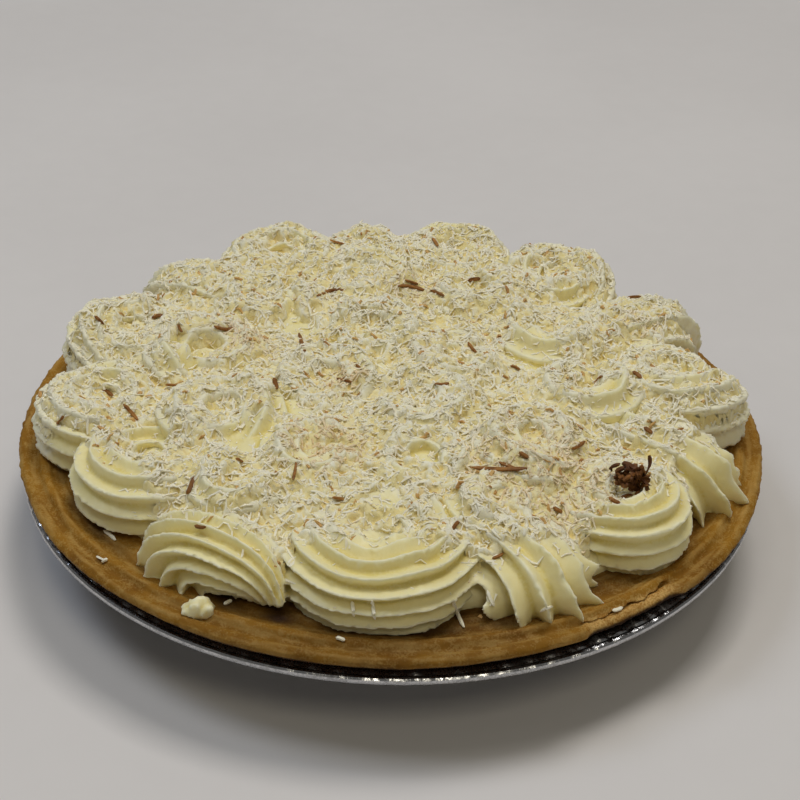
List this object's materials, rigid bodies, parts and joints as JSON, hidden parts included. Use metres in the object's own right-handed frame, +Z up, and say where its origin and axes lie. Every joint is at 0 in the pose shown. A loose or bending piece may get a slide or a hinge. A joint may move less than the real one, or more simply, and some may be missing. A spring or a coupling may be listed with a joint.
{
  "type": "coconut cream pie",
  "caption": "Whole round pie in a foil tin, with a ribbed pastry rim and a deep top of piped whipped cream swirls strewn with shredded coconut.",
  "frame": {"origin": "middle of the tin's flat base, on the surface it stands on", "axes": "+Z up, out of the pie's top; -Y towards the side that faces the viewer, with the largest rosette; +X to the viewer's right"},
  "size_m": [0.25, 0.2502, 0.0637],
  "materials": {
    "foil": "bright crinkled foil with a rolled edge",
    "pastry": "dry baked shortcrust, golden brown, darker in its grooves",
    "cream": "soft satin whipped cream, pale ivory, with white shreds of coconut",
    "toasted_coconut": "dry toasted brown"
  },
  "bodies": {
    "root": {"foil_tin": "foil", "crust": "pastry", "whipped_cream": "cream", "toasted_cluster": "toasted_coconut"}
  },
  "joints": []
}
